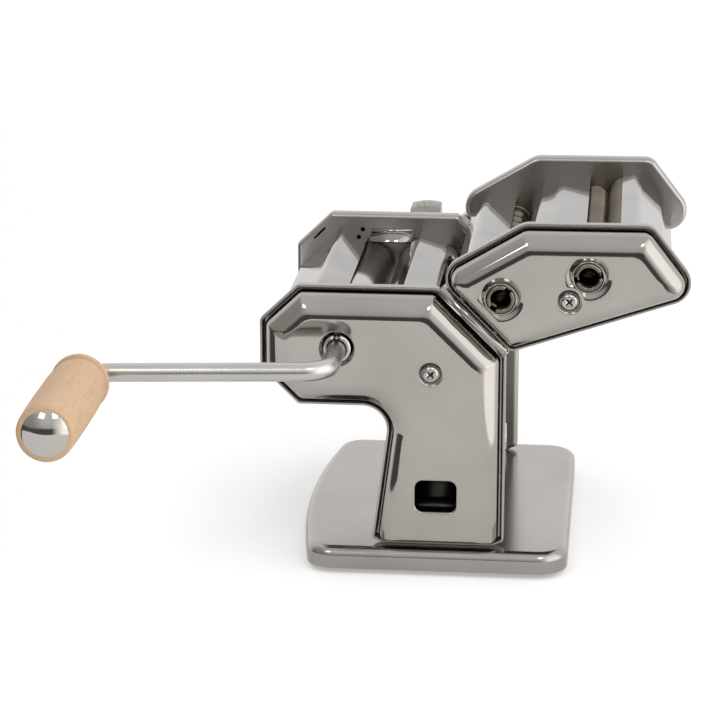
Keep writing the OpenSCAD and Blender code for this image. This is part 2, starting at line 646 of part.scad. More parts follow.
module cutter_tie_rods() color(steel) for (q = cut_tie_ax) across() difference() {
  at(q) cylinder(r = cut_tie_r, h = plate_gap);
  for (z = [-1, plate_gap - 12]) at(q, z) cylinder(r = screw_r + 0.05, h = 13);
}
module cutter_tie_screws() color(steel) both() for (q = [cut_tie_ax[1], cut_tie_ax[2]])
  at(q, sheet) screw(3.2, 2, screw_r, sheet + 8);
module cutter_bushes() color([0.85, 0.83, 0.74]) both()
  for (q = [wide_ax, wide_mate_ax, fine_ax, fine_mate_ax]) at(q) difference() {
    union() {
      translate([0, 0, -0.8]) cylinder(r = 8, h = 0.8);
      cylinder(r = 6.5, h = 2.4);
    }
    translate([0, 0, -2]) cylinder(r = 5 + run, h = 20);
  }

// Slide of the cutter: strips on the body's rear slope, and channels that wrap their outer edges

rail_l = 45;
rail_t = 1;
rail_free = 0.4;
rim_mid = (bend_r + rim_w) / 2;
// a strip reaches past its rim by strip_over and has a stop tab at its lower end
strip_t = 1;
strip_over = 1.6;
strip_v = rim_w + strip_over;
module slide_strips() color(chrome) both() at(seat, bend_r) rotate(-45) {
  translate([-rail_l / 2, 0, 0]) cube([rail_l + 1.4, strip_t, strip_v - bend_r]);
  translate([rail_l / 2 + rail_free, 0, 0]) cube([1, slope_gap - rail_free, strip_v - bend_r]);
}
chan_n = strip_t + rail_free;
chan_v = strip_v + rail_free;
rivet_in = 1.2;
module cutter_rails() color(chrome) both() at(seat) difference() {
  rotate(-45) translate([-rail_l / 2, 0, 0]) rotate([90, 0, 90]) linear_extrude(rail_l)
    polygon([[slope_gap, -1.6], [slope_gap, chan_v + rail_t], [-rail_free - rail_t, chan_v + rail_t],
      [-rail_free - rail_t, rim_w + rail_free], [-rail_free, rim_w + rail_free], [-rail_free, chan_v],
      [chan_n, chan_v], [chan_n, -rail_free], [-4, -rail_free], [-4, -1.6]]);
  for (k = [-1, 1]) translate([k * 12 * rail_d[0], k * 12 * rail_d[1], rim_mid]) rotate(45)
    rotate([0, 90, 0]) translate([0, 0, slope_gap - rivet_in]) cylinder(r = 1.6, h = 20);
}
module rail_rivets() color(steel) both() for (k = [-1, 1])
  at(cut_0 + k * 12 * rail_d, rim_mid) rotate(45) rotate([0, 90, 0]) {
    translate([0, 0, -rivet_in]) cylinder(r = 1.5, h = rivet_in + sheet);
    translate([0, 0, sheet]) cylinder(r1 = 2, r2 = 1.4, h = 1);
  }

// Cutter rollers with interleaved rings, their gears and the combs below them

// clearance of a ring in its groove
ring_free = 0.32;
cut_root = pair_c - cut_r - ring_free;
cut_len = plate_gap - 4;
function rings(n, pitch, w) = [for (i = [0:n - 1]) let (c = (i - (n - 1) / 2) * pitch)
  each [[cut_root, c - w / 2], [cut_r, c - w / 2], [cut_r, c + w / 2], [cut_root, c + w / 2]]];
module cut_roller(q, n, pitch) {
  w = pitch / 2 - ring_free;
  across(0) at(q) rotate_extrude() polygon(concat([[0, -cut_len / 2], [cut_root, -cut_len / 2]],
    rings(n, pitch, w), [[cut_root, cut_len / 2], [0, cut_len / 2]]));
  knob_side() at(q, -2) cylinder(r = 5, h = 5);
}
module cut_drive(q, n, pitch, a) {
  cut_roller(q, n, pitch);
  crank_side() at(q, -2) difference() {
    union() {
      cylinder(r = 5, h = 2 + cut_gear_1 + 1);
      translate([0, 0, 2 + cut_gear_1]) cylinder(r = socket_r, h = cover_depth + 2.2 - cut_gear_1);
    }
    translate([0, 0, 2 + cut_gear_1 + 1.4]) cylinder(r = socket_bore, h = 60);
    translate([0, 0, 2 + cover_depth + 2.2]) notch(a);
  }
}
module cut_mate(q, n, pitch) {
  cut_roller(q, n, pitch);
  crank_side() at(q, -2) cylinder(r = 5, h = 2 + cut_gear_1);
}
wide_n = floor((cut_len - 10) / wide_pitch);
fine_n = floor((cut_len - 10) / fine_pitch);
module wide_drive_roller() color(steel) cut_drive(wide_ax, wide_n, wide_pitch, wide_notch);
module wide_mate_roller() color(steel) cut_mate(wide_mate_ax, wide_n - 1, wide_pitch);
module fine_drive_roller() color(steel) cut_drive(fine_ax, fine_n, fine_pitch, fine_notch);
module fine_mate_roller() color(steel) cut_mate(fine_mate_ax, fine_n - 1, fine_pitch);
module small_gear(q, a) crank_side() at(q, cut_gear_0) rotate(pair_a + a)
  gear(12, pair_c / 2 + 1.2, pair_c / 2 - 1.7, 3.6, 7, 5, cut_gear_1 - cut_gear_0);
module wide_drive_gear() color(steel) small_gear(wide_ax, 0);
module wide_mate_gear() color(steel) small_gear(wide_mate_ax, 15);
module fine_drive_gear() color(steel) small_gear(fine_ax, 0);
module fine_mate_gear() color(steel) small_gear(fine_mate_ax, 15);
// a comb below one roller: a strip between the plates, its teeth in the ring grooves
module comb(q, n, pitch) {
  w = pitch / 2 - 0.5;
  across(plate_gap) at(q) rotate(pair_a) translate([-0.5, 0, plate_gap / 2])
    rotate([0, 90, 0]) linear_extrude(1) {
      translate([-plate_gap / 2, -cut_r - 6.4]) square([plate_gap, 5]);
      for (i = [0:n - 2]) translate([-(i - (n - 1) / 2 + 0.5) * pitch - w / 2, -cut_r - 1.6])
        square([w, cut_r + 1.6 - cut_root - 0.5]);
    }
}
module wide_combs() color(steel) {
  comb(wide_ax, wide_n, wide_pitch);
  comb(wide_mate_ax, wide_n - 1, wide_pitch);
}
module fine_combs() color(steel) {
  comb(fine_ax, fine_n, fine_pitch);
  comb(fine_mate_ax, fine_n - 1, fine_pitch);
}

// Drawing

base_plate();
rubber_feet();
foot_brackets();
base_screws();
bracket_screws();
crank_side_plate();
knob_side_plate();
crank_side_cover();
knob_side_cover();
cover_screws();
front_hood();
rear_hood();
tie_rods();
tie_screws();
drive_bushes();
dough_guides();
front_scraper();
rear_scraper();
carriage_guides();
dial_plate();
knob_bush();
clamp_strap();
slide_strips();
roller_carriage();
carriage_bushes();
drive_roller();
drive_gear();
gap_roller();
gap_gear();
thickness_knob();
eccentric_shaft();
knob_screw();
crank_arm();
crank_pin();
wooden_grip();
grip_cap();
cutter_crank_plate();
cutter_far_plate();
cutter_cover();
cutter_far_cover();
cutter_left_hood();
cutter_mid_hood();
cutter_right_hood();
cutter_rails();
rail_rivets();
cutter_tie_rods();
cutter_tie_screws();
cutter_cover_screws();
cutter_bushes();
wide_combs();
fine_combs();
wide_drive_roller();
wide_drive_gear();
wide_mate_roller();
wide_mate_gear();
fine_drive_roller();
fine_drive_gear();
fine_mate_roller();
fine_mate_gear();
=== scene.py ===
import bpy
import bmesh
import math
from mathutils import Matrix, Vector

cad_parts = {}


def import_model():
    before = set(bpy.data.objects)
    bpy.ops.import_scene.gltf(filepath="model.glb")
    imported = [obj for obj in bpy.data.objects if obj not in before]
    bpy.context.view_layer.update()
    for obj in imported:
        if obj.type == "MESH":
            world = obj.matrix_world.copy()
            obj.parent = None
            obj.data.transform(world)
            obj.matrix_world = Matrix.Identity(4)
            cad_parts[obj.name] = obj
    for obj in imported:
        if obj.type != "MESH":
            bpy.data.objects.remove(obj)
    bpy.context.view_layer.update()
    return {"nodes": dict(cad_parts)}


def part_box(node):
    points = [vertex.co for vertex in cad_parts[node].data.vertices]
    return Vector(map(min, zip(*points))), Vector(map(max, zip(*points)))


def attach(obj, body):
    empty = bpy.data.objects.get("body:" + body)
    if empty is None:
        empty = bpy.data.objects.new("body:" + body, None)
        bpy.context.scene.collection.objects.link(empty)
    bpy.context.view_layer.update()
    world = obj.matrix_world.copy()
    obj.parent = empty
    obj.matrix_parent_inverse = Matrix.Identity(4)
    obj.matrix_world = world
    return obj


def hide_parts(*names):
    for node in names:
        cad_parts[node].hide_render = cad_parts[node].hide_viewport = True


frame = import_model()

# Drawn sizes are millimetres, as in the CAD source; the scene is in metres
MM = 0.001
NODES = frame["nodes"]
# inner face of a side plate
HALF = round(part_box("front_hood")[1][1] / MM, 3)
# points of a round form and of a small hole, and degrees between the points of a rounded corner
ROUND, SMALL, STEP = 96, 32, 3.0
# smallest radius of a corner, and the flat strip between a bend and a face
TIGHT, FLAT = 0.3, 0.6


def axis(node):
    """X and Z of a turned node's axis, which lies along Y."""
    low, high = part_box(node)
    return tuple(round((low[i] + high[i]) / 2 / MM, 1) for i in (0, 2))


def reach(node):
    """How far a node stands out from its plate's inner face."""
    low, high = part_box(node)
    return round(max(-low[1], high[1]) / MM - HALF, 1)


# Plane geometry of the sheet parts

def unit(v):
    n = math.hypot(v[0], v[1])
    return (v[0] / n, v[1] / n)


def din(p, i):
    return unit((p[i][0] - p[i - 1][0], p[i][1] - p[i - 1][1]))


def dout(p, i):
    j = (i + 1) % len(p)
    return unit((p[j][0] - p[i][0], p[j][1] - p[i][1]))


def left(d):
    return (-d[1], d[0])


def turn(p, i):
    a, b = din(p, i), dout(p, i)
    return math.atan2(a[0] * b[1] - a[1] * b[0], a[0] * b[0] + a[1] * b[1])


def inset(p, d, k=None):
    """Moves every edge of p inward by d times its own factor in k."""
    k = k or [1] * len(p)
    out = []
    for i in range(len(p)):
        a, b = left(din(p, i)), left(dout(p, i))
        c = a[0] * b[0] + a[1] * b[1]
        u, v = d * k[i - 1], d * k[i]
        f = 1 - c * c
        out.append(tuple(p[i][m] + (u * (a[m] - c * b[m]) + v * (b[m] - c * a[m])) / f for m in (0, 1)))
    return out


def corner(q, r, i):
    """Centre, start angle and turn of a rounded corner."""
    a, t = din(q, i), turn(q, i)
    s = r * math.tan(abs(t) / 2)
    e = (q[i][0] - a[0] * s, q[i][1] - a[1] * s)
    n = left(a)
    g = math.copysign(r, t)
    c = (e[0] + n[0] * g, e[1] + n[1] * g)
    return c, math.atan2(e[1] - c[1], e[0] - c[0]), t


def outline(p, r, d=0.0, k=None, fine=STEP, soft=0.0):
    """A rounded outline moved inward by d, one point for each fine degrees of a corner.

    With soft, the corners widen again as the outline moves inward."""
    q = inset(p, d, k)
    pts = []
    for i in range(len(p)):
        wide = soft * d * min(k[i - 1], k[i]) if soft else 0
        f = max(r[i] - d, wide, TIGHT) if turn(p, i) > 0 else r[i] + d
        c, a, t = corner(q, f, i)
        n = max(4, round(abs(math.degrees(turn(p, i))) / fine))
        for j in range(n + 1):
            w = a + t * j / n
            pts.append((c[0] + f * math.cos(w), c[1] + f * math.sin(w)))
    return pts


def arc(c, r, a, b, n):
    return [(c[0] + r * math.cos(math.radians(a + (b - a) * j / n)),
             c[1] + r * math.sin(math.radians(a + (b - a) * j / n))) for j in range(n + 1)]


def circle(c, r, n=ROUND):
    return arc(c, r, 0, 360 * (n - 1) / n, n - 1)


# Mesh makers

def place(side):
    """Maps a drawing in X, Z and outward height to the frame: -1 the crank side, 1 the knob side."""
    return lambda x, y, v: (x * MM, side * (HALF + v) * MM, y * MM)


def about(to, c):
    """The same map for a turned form about the axis through c."""
    return lambda x, y, v: to(c[0] + x, c[1] + y, v)


def new_object(name, bm, sharp=32):
    me = bpy.data.meshes.new(name)
    bmesh.ops.remove_doubles(bm, verts=bm.verts, dist=2e-6)
    bmesh.ops.recalc_face_normals(bm, faces=bm.faces)
    bm.to_mesh(me)
    bm.free()
    me.shade_smooth()
    me.set_sharp_from_angle(angle=math.radians(sharp))
    ob = bpy.data.objects.new(name, me)
    bpy.context.scene.collection.objects.link(ob)
    return ob


def skin(bm, rows, close=False):
    """Faces between closed rows of vertices, each as long as the next."""
    pairs = zip(rows, rows[1:] + rows[:1]) if close else zip(rows, rows[1:])
    for a, b in pairs:
        n = len(a)
        for j in range(n):
            e = (j + 1) % n
            bm.faces.new((a[j], b[j], b[e], a[e]))


def add_band(bm, p, r, prof, to, k=None, fine=STEP, soft=0.0):
    """A profile of inset and height carried round an outline."""
    rows = [[bm.verts.new(to(x, y, v)) for x, y in outline(p, r, u, k, fine, soft)] for u, v in prof]
    skin(bm, rows)


def lathe(bm, prof, to, n=ROUND, close=False):
    """Turns a profile of radius and height about the height axis; to maps x, y, height."""
    rows = [[bm.verts.new(to(x, y, v)) for x, y in circle((0, 0), r, n)] for r, v in prof]
    skin(bm, rows, close)


def add_sheet(bm, outer, holes, joined, v, t, to):
    """A flat sheet between the heights v and v + t. Plain holes get walls; joined ones meet other forms."""
    for z in (v, v + t):
        edges = []
        for loop in [outer] + holes + joined:
            vs = [bm.verts.new(to(x, y, z)) for x, y in loop]
            edges += [bm.edges.new(pair) for pair in zip(vs, vs[1:] + vs[:1])]
        bmesh.ops.triangle_fill(bm, use_beauty=True, use_dissolve=False, edges=edges)
    for loop in holes:
        skin(bm, [[bm.verts.new(to(x, y, z)) for x, y in loop] for z in (v, v + t)])


def strip_side(p, r, h, fine=STEP):
    """One face of a bent sheet along an open path, h to the path's left."""
    d = unit((p[1][0] - p[0][0], p[1][1] - p[0][1]))
    out = [(p[0][0] - d[1] * h, p[0][1] + d[0] * h)]
    for i in range(1, len(p) - 1):
        c, a, t = corner(p, r[i], i)
        f = r[i] - h * math.copysign(1, t)
        n = max(3, round(abs(math.degrees(t)) / fine))
        for j in range(n + 1):
            w = a + t * j / n
            out.append((c[0] + f * math.cos(w), c[1] + f * math.sin(w)))
    d = unit((p[-1][0] - p[-2][0], p[-1][1] - p[-2][1]))
    out.append((p[-1][0] - d[1] * h, p[-1][1] + d[0] * h))
    return out


def strip_object(name, p, r, t, l, steps=12):
    """A bent sheet of thickness t across the machine, l long in Y."""
    ring = strip_side(p, r, -t / 2) + list(reversed(strip_side(p, r, t / 2)))
    bm = bmesh.new()
    rows = []
    for s in range(steps + 1):
        y = (-l / 2 + l * s / steps) * MM
        rows.append([bm.verts.new((x * MM, y, z * MM)) for x, z in ring])
    skin(bm, rows)
    for end in (rows[0], rows[-1]):
        for i in range(len(ring) // 2 - 1):
            bm.faces.new((end[i], end[i + 1], end[-2 - i], end[-1 - i]))
    return new_object(name, bm, 35)


# Materials

# scales of a finish's noise, per metre: clouds of tone, smudges, waves of the sheet, grain
CLOUDS, SMUDGES, WAVES, GRAINS = 22.0, 60.0, 9.0, 300.0
# heights of waves and grain in metres, the painted shade inside a bore, and a bore that is painted dark all
# through
WAVE_H, GRAIN_H, PAINTED_BORE_SHADE, THROUGH = 0.004, 0.0002, (0.03, 0.026, 0.022), 1000


def material(name):
    m = bpy.data.materials.new(name)
    m.use_nodes = True
    nt = m.node_tree
    return m, nt, nt.nodes["Principled BSDF"], nt.nodes.new("ShaderNodeTexCoord").outputs["Object"]


def link(nt, a, b):
    nt.links.new(a, b)


def mapping(nt, co, scale):
    mp = nt.nodes.new("ShaderNodeMapping")
    mp.inputs["Scale"].default_value = scale
    link(nt, co, mp.inputs["Vector"])
    return mp.outputs["Vector"]


def noise(nt, co, scale, detail=3.0, stretch=None, rough=0.5):
    n = nt.nodes.new("ShaderNodeTexNoise")
    n.inputs["Scale"].default_value = scale
    n.inputs["Detail"].default_value = detail
    n.inputs["Roughness"].default_value = rough
    link(nt, mapping(nt, co, stretch) if stretch else co, n.inputs["Vector"])
    return n.outputs["Fac"]


def ramp(nt, fac, stops):
    r = nt.nodes.new("ShaderNodeValToRGB")
    while len(r.color_ramp.elements) < len(stops):
        r.color_ramp.elements.new(0.5)
    for e, (pos, col) in zip(r.color_ramp.elements, stops):
        e.position = pos
        e.color = (col[0], col[1], col[2], 1)
    link(nt, fac, r.inputs["Fac"])
    return r.outputs["Color"]


def spread(nt, fac, low, high, to_low=0.0, to_high=1.0):
    """Maps low to high onto to_low to to_high, and holds the ends."""
    m = nt.nodes.new("ShaderNodeMapRange")
    for key, value in (("From Min", low), ("From Max", high), ("To Min", to_low), ("To Max", to_high)):
        m.inputs[key].default_value = value
    link(nt, fac, m.inputs["Value"])
    return m.outputs["Result"]


def math_node(nt, op, a, b):
    m = nt.nodes.new("ShaderNodeMath")
    m.operation = op
    for socket, value in zip(m.inputs, (a, b)):
        if isinstance(value, (int, float)):
            socket.default_value = value
        else:
            link(nt, value, socket)
    return m.outputs[0]


def mix_color(nt, fac, a, b, blend="MIX"):
    m = nt.nodes.new("ShaderNodeMix")
    m.data_type = "RGBA"
    m.blend_type = blend
    for key, value in (("Factor", fac), ("A", a), ("B", b)):
        kind = "VALUE" if key == "Factor" else "RGBA"
        socket = [s for s in m.inputs if s.name == key and s.type == kind][0]
        if isinstance(value, tuple):
            socket.default_value = (value[0], value[1], value[2], 1)
        elif isinstance(value, (int, float)):
            socket.default_value = value
        else:
            link(nt, value, socket)
    return [s for s in m.outputs if s.type == "RGBA"][0]


def bump(nt, height, strength, dist, base=None):
    b = nt.nodes.new("ShaderNodeBump")
    b.inputs["Strength"].default_value = strength
    b.inputs["Distance"].default_value = dist
    link(nt, height, b.inputs["Height"])
    if base:
        link(nt, base, b.inputs["Normal"])
    return b.outputs["Normal"]


def axis_distance(nt, co, c):
    """Distance in metres from the line along Y through c, given in X and Z."""
    d = nt.nodes.new("ShaderNodeVectorMath")
    d.operation = "DISTANCE"
    link(nt, mapping(nt, co, (1, 0, 1)), d.inputs[0])
    d.inputs[1].default_value = (c[0] * MM, 0, c[1] * MM)
    return d.outputs["Value"]


def side_distance(nt, co):
    """Distance in metres from the machine's middle plane."""
    sep = nt.nodes.new("ShaderNodeSeparateXYZ")
    link(nt, co, sep.inputs[0])
    return math_node(nt, "ABSOLUTE", sep.outputs["Y"], 0)


def metal(name, dark, light, r0, r1, wave=0.0, grain=None, grain_s=0.0, shaded_bores=(), recess=THROUGH):
    """Polished or satin metal: clouded tone, smudged roughness, slow waves of the sheet and fine grain.

    Bores and recesses, given by axis and radius, get painted shade inside, up to recess away from the middle."""
    m, nt, bsdf, co = material(name)
    bsdf.inputs["Metallic"].default_value = 1.0
    tone = ramp(nt, noise(nt, co, CLOUDS, 4.0), [(0.3, dark), (0.7, light)])
    rough = spread(nt, noise(nt, co, SMUDGES, 5.0, rough=0.65), 0, 1, r0, r1)
    # painted shade: bores and recesses are coloured dark inside, where little light reaches
    for c, radius in shaded_bores:
        painted_shade = math_node(nt, "LESS_THAN", axis_distance(nt, co, c), radius * MM)
        deep = math_node(nt, "LESS_THAN", side_distance(nt, co), recess * MM)
        painted_shade = math_node(nt, "MULTIPLY", painted_shade, deep)
        tone = mix_color(nt, painted_shade, tone, PAINTED_BORE_SHADE)
    normal = None
    if wave:
        normal = bump(nt, noise(nt, co, WAVES, 1.0), wave, WAVE_H)
    if grain:
        normal = bump(nt, noise(nt, co, GRAINS, 2.0, grain), grain_s, GRAIN_H, normal)
    link(nt, tone, bsdf.inputs["Base Color"])
    link(nt, rough, bsdf.inputs["Roughness"])
    if normal:
        link(nt, normal, bsdf.inputs["Normal"])
    return m


def plastic(name, a, b, rough, scale=180.0, bumps=0.15):
    """Moulded plastic or rubber: mottled tone, unevenly worn, with a fine moulded texture."""
    mottle, wear, texture_h = 35.0, 0.06, 0.0003
    m, nt, bsdf, co = material(name)
    link(nt, ramp(nt, noise(nt, co, mottle, 4.0), [(0.3, a), (0.7, b)]), bsdf.inputs["Base Color"])
    worn = spread(nt, noise(nt, co, scale, 3.0), 0, 1, rough - wear, rough + wear)
    link(nt, worn, bsdf.inputs["Roughness"])
    link(nt, bump(nt, noise(nt, co, scale * 6, 2.0), bumps, texture_h), bsdf.inputs["Normal"])
    return m


def beech():
    """Oiled beech: slow bands and short fine flecks along the grip, which lies along Y."""
    bands, flecks, wear = 30.0, 700.0, 90.0
    m, nt, bsdf, co = material("beech")
    tone = ramp(nt, noise(nt, co, bands, 3.0, (1, 0.15, 1)),
                [(0.25, (0.555, 0.368, 0.224)), (0.75, (0.635, 0.432, 0.272))])
    pores = noise(nt, co, flecks, 2.0, (1, 0.10, 1))
    fleck = ramp(nt, pores, [(0.52, (1, 1, 1)), (0.70, (0.84, 0.75, 0.66))])
    link(nt, mix_color(nt, 0.55, tone, fleck, "MULTIPLY"), bsdf.inputs["Base Color"])
    link(nt, spread(nt, noise(nt, co, wear, 3.0), 0, 1, 0.50, 0.64), bsdf.inputs["Roughness"])
    link(nt, bump(nt, pores, 0.10, GRAIN_H), bsdf.inputs["Normal"])
    return m


# Forms of the body and of the cutter, in X and Z

(X0, FOOT), (X1, TOP) = [(round(c[0] / MM, 1), round(c[2] / MM, 1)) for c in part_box("crank_side_plate")]
PLATE = [(X1, 116), (4, TOP), (-67, TOP), (X0, 132.5), (X0, 107.3), (-67, 88), (-19.6, 88),
         (-29.4, FOOT), (X1, FOOT)]
# a plate's rim is cut off at the foot's two corners
FOOT_CUT = (6.5, 2.7)
LEG_SLOPE = (PLATE[6][0] - PLATE[7][0]) / (PLATE[6][1] - PLATE[7][1])
RIM = PLATE[:7] + [(PLATE[7][0] + FOOT_CUT[1] * LEG_SLOPE, PLATE[7][1] + FOOT_CUT[1]),
                   (PLATE[7][0] + FOOT_CUT[0], PLATE[7][1]), (PLATE[8][0] - FOOT_CUT[0], PLATE[8][1]),
                   (PLATE[8][0], PLATE[8][1] + FOOT_CUT[1])]
LEG_R = 13
RIM_R = [3.2] * 6 + [LEG_R] + [2] * 4
# sheet of the plates and of the covers, width of a plate's rim
SHEET, THIN, RIM_W = 1.2, 0.8, reach("crank_side_plate")
# a cover sits inside the rim, and the plate's bend ends just outside it
COVER_IN = SHEET + 1.6
BEND = COVER_IN - 0.3
# height of the covers, and the rolled shoulder of the body's and of the cutter's
DEPTH, CUT_FAR = reach("crank_side_cover"), reach("cutter_far_cover")
DOME, CUT_DOME = 12.6, 10.6
# how much a shoulder's corners widen toward the flat face
SOFT = 0.8
COVER = inset(PLATE, COVER_IN)
COVER_R = [5] * 6 + [LEG_R + COVER_IN, 4, 4]
# share of the shoulder's width along each edge
COVER_K = [1, 1, 1, 1, 1, 1, 1, 0.3, 1]
CUT = [(1.2, 158.2), (41.2, 118.2), (138, 150.6), (111, 185.5), (47, 185.2)]
CUT_R = [11, 5, 11, 8, 12]
CUT_COVER = inset(CUT, COVER_IN)
CUT_COVER_R = [8, 5, 8, 7, 9]
CUT_K = [0.55, 0.7, 1, 1, 1]
DRIVE, GAP = axis("drive_roller"), axis("gap_roller")
WIDE, WIDE2 = axis("wide_drive_roller"), axis("wide_mate_roller")
FINE, FINE2 = axis("fine_drive_roller"), axis("fine_mate_roller")
# tie rods, the first one with the long screw of the covers
TIES = [axis("cover_screws"), (-72, 110), (8, 66)]
CUT_TIES = [axis("cutter_cover_screws"), (22, 150), (112.5, 157)]
WINDOW, WINDOW_R = [(-6, 35.3), (15, 35.3), (15, 51.9), (-6, 51.9)], [5] * 4

COOL, WARM = (0.395, 0.375, 0.352), (0.450, 0.429, 0.404)
EVEN, SPUN, DRAWN = (1, 1, 1), (1, 8, 1), (1, 0.05, 1)
# radii of a crank socket's bore and of a screw's cross recess, and the recess's edge above its cover
BORE_R, CROSS_R, CROSS_UP = 5.3, 2.45, 0.7
# the screws' cross recesses, which get painted shade
SHADED_RECESSES = [(TIES[0], CROSS_R), (CUT_TIES[0], CROSS_R)]
CHROME = metal("chrome_polished", COOL, WARM, 0.04, 0.09, 0.05, EVEN, 0.02)
RIMMED = metal("chrome_plate", COOL, WARM, 0.24, 0.33, 0.05, EVEN, 0.02)
SATIN = metal("chrome_satin", (0.27, 0.257, 0.242), (0.38, 0.364, 0.346), 0.04, 0.10, 0.10, DRAWN, 0.05)
PRESSED = metal("chrome_base", (0.37, 0.352, 0.335), (0.42, 0.402, 0.384), 0.15, 0.23, 0.04, EVEN, 0.03)
# the rollers' crank socket bores get painted shade
ROLLER = metal("roller_steel", (0.50, 0.485, 0.465), (0.57, 0.555, 0.535), 0.14, 0.24, 0, SPUN, 0.12,
               [(DRIVE, BORE_R)])
CUTTER = metal("cutter_steel", (0.20, 0.17, 0.14), (0.28, 0.24, 0.20), 0.22, 0.32, 0, SPUN, 0.12,
               [(WIDE, BORE_R), (FINE, BORE_R)])
STEEL = metal("plain_steel", (0.36, 0.355, 0.35), (0.45, 0.445, 0.44), 0.18, 0.30, 0, EVEN, 0.10)
# painted shade in the cross recesses, down to their edge above the cover
SCREW = metal("screw_steel", (0.46, 0.45, 0.43), (0.55, 0.54, 0.52), 0.14, 0.24, 0, EVEN, 0.10, SHADED_RECESSES,
              recess=HALF + DEPTH + CROSS_UP)
BLACK = metal("blackened_steel", (0.05, 0.047, 0.043), (0.09, 0.085, 0.08), 0.35, 0.50, 0, EVEN, 0.2)
ROD = metal("crank_chrome", (0.52, 0.51, 0.49), (0.58, 0.57, 0.55), 0.24, 0.32, 0.03)
CAP = metal("cap_chrome", (0.47, 0.45, 0.425), (0.53, 0.51, 0.485), 0.05, 0.10, 0.02)
KNOB = plastic("knob_plastic", (0.36, 0.37, 0.32), (0.42, 0.43, 0.38), 0.42)
NYLON = plastic("nylon", (0.60, 0.56, 0.47), (0.68, 0.64, 0.55), 0.40)
RUBBER = plastic("rubber", (0.018, 0.018, 0.018), (0.035, 0.034, 0.033), 0.75, 260.0, 0.4)
WOOD = beech()


# Finish of the CAD nodes

def dress(ob, mat):
    ob.data.materials.clear()
    ob.data.materials.append(mat)


FINISH = {
    CHROME: "crank_side_cover knob_side_cover cutter_cover cutter_far_cover cutter_rails slide_strips",
    RIMMED: "crank_side_plate knob_side_plate cutter_crank_plate cutter_far_plate",
    SCREW: "cover_screws cutter_cover_screws",
    CAP: "grip_cap",
    PRESSED: "base_plate",
    SATIN: "foot_brackets front_hood rear_hood dough_guides dial_plate cutter_left_hood cutter_mid_hood"
           " cutter_right_hood",
    ROLLER: "drive_roller gap_roller",
    CUTTER: "wide_drive_roller wide_mate_roller fine_drive_roller fine_mate_roller",
    STEEL: "base_screws bracket_screws tie_rods tie_screws front_scraper rear_scraper carriage_guides"
           " roller_carriage drive_gear gap_gear eccentric_shaft knob_screw crank_pin rail_rivets"
           " cutter_tie_rods cutter_tie_screws wide_combs fine_combs wide_drive_gear wide_mate_gear"
           " fine_drive_gear fine_mate_gear",
    BLACK: "clamp_strap",
    ROD: "crank_arm",
    KNOB: "thickness_knob",
    NYLON: "drive_bushes knob_bush carriage_bushes cutter_bushes",
    RUBBER: "rubber_feet",
    WOOD: "wooden_grip",
}
for mat, names in FINISH.items():
    for name in names.split():
        ob = NODES[name]
        dress(ob, mat)
        weld = ob.modifiers.new("weld", "WELD")
        weld.merge_threshold = 1e-5
        ob.data.shade_smooth()
        ob.data.set_sharp_from_angle(angle=math.radians(25))


# Sheet shells at full fineness, each in place of its CAD node

def shell(ob, node, body, mat=CHROME):
    dress(ob, mat)
    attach(ob, body)
    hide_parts(node)


def slit(c, length, width, angle):
    """The corners of a narrow cut about c."""
    a = math.radians(angle)
    u, v = (math.cos(a), math.sin(a)), (-math.sin(a), math.cos(a))
    return [tuple(c[m] + u[m] * s * length / 2 + v[m] * t * width / 2 for m in (0, 1))
            for s, t in ((-1, -1), (1, -1), (1, 1), (-1, 1))]


def slot_loop(c, r, m):
    """A round-ended opening, long in X."""
    n = ROUND // 2
    return arc((c[0] + m, c[1]), r, -90, 90, n) + arc((c[0] - m, c[1]), r, 90, 270, n)


def pan_object(name, p, r, holes, side):
    """A side plate: flat sheet, smooth bend and rim with a rounded edge."""
    bm = bmesh.new()
    to = place(side)
    # the rim's own edge is rounded
    e = 0.25
    prof = [(BEND + FLAT, 0)] + arc((BEND, BEND), BEND, 270, 180, 14)
    prof += [(0, RIM_W - e)] + arc((e, RIM_W - e), e, 180, 90, 4)
    prof += arc((SHEET - e, RIM_W - e), e, 90, 0, 4)
    prof += arc((BEND, BEND), BEND - SHEET, 180, 270, 14) + [(BEND + FLAT, SHEET)]
    add_band(bm, p, r, prof, to)
    add_sheet(bm, outline(p, r, BEND + FLAT), holes, [], 0, SHEET, to)
    return new_object(name, bm)


# radius of a screw dish, and of the holes for tie rods
DISH_R, TIE_HOLE = 6.6, 2.0


